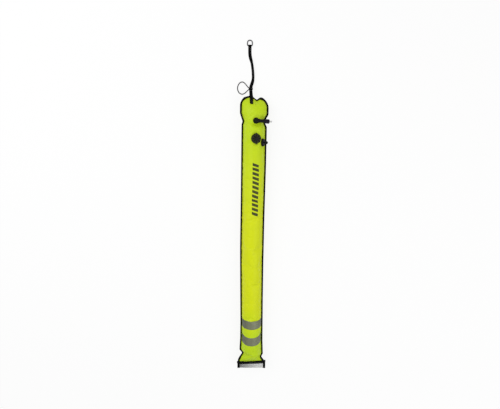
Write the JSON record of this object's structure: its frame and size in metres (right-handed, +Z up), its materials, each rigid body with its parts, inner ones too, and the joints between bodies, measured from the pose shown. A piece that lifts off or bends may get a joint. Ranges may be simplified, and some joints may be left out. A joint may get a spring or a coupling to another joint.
{
  "type": "surface marker buoy",
  "caption": "Inflated tubular surface marker buoy for divers, with bound seams, reflective bands, inflator, dump valves, light stick sleeve and a webbing strap with a steel ring",
  "frame": {"origin": "On the surface it lies on, under the centre of the box round the bag, its fittings and the light stick sleeve, without the strap, ring, keeper and line", "axes": "+Y along the tube to the strap end, +X to the side with the inflator, +Z up from the surface through the front panel"},
  "size_m": [0.173, 1.7025, 0.1146],
  "materials": {
    "bag_fabric": "coated",
    "seam_tape": "woven",
    "reflective_tape": "reflective",
    "webbing": "woven",
    "ring_steel": "polished",
    "line_cord": "braided",
    "valve_plastic": "moulded",
    "valve_gloss": "smooth",
    "nipple_steel": "turned",
    "clear_vinyl": "translucent"
  },
  "bodies": {
    "root": {"bag_front": "bag_fabric", "bag_back": "bag_fabric", "binding_end": "seam_tape", "binding_left": "seam_tape", "binding_right": "seam_tape", "binding_head": "seam_tape", "reflective_band_lower": "reflective_tape", "reflective_band_upper": "reflective_tape", "strap_tab": "webbing", "pull_strap": "webbing", "strap_fold": "webbing", "strap_ring": "ring_steel", "strap_keeper": "webbing", "line_loop": "line_cord", "inflator_flange": "valve_plastic", "inflator_elbow": "valve_plastic", "inflator_barrel": "valve_plastic", "inflator_tip": "valve_gloss", "inflator_nipple": "nipple_steel", "dump_valve_flange": "valve_plastic", "dump_valve_cap": "valve_plastic", "dump_valve_button": "valve_gloss", "side_valve_flange": "valve_plastic", "side_valve_cap": "valve_plastic", "side_valve_stem": "valve_plastic", "side_valve_knob": "valve_gloss", "light_sleeve": "clear_vinyl", "sleeve_cuff_left": "seam_tape", "sleeve_cuff_right": "seam_tape"}
  },
  "joints": []
}
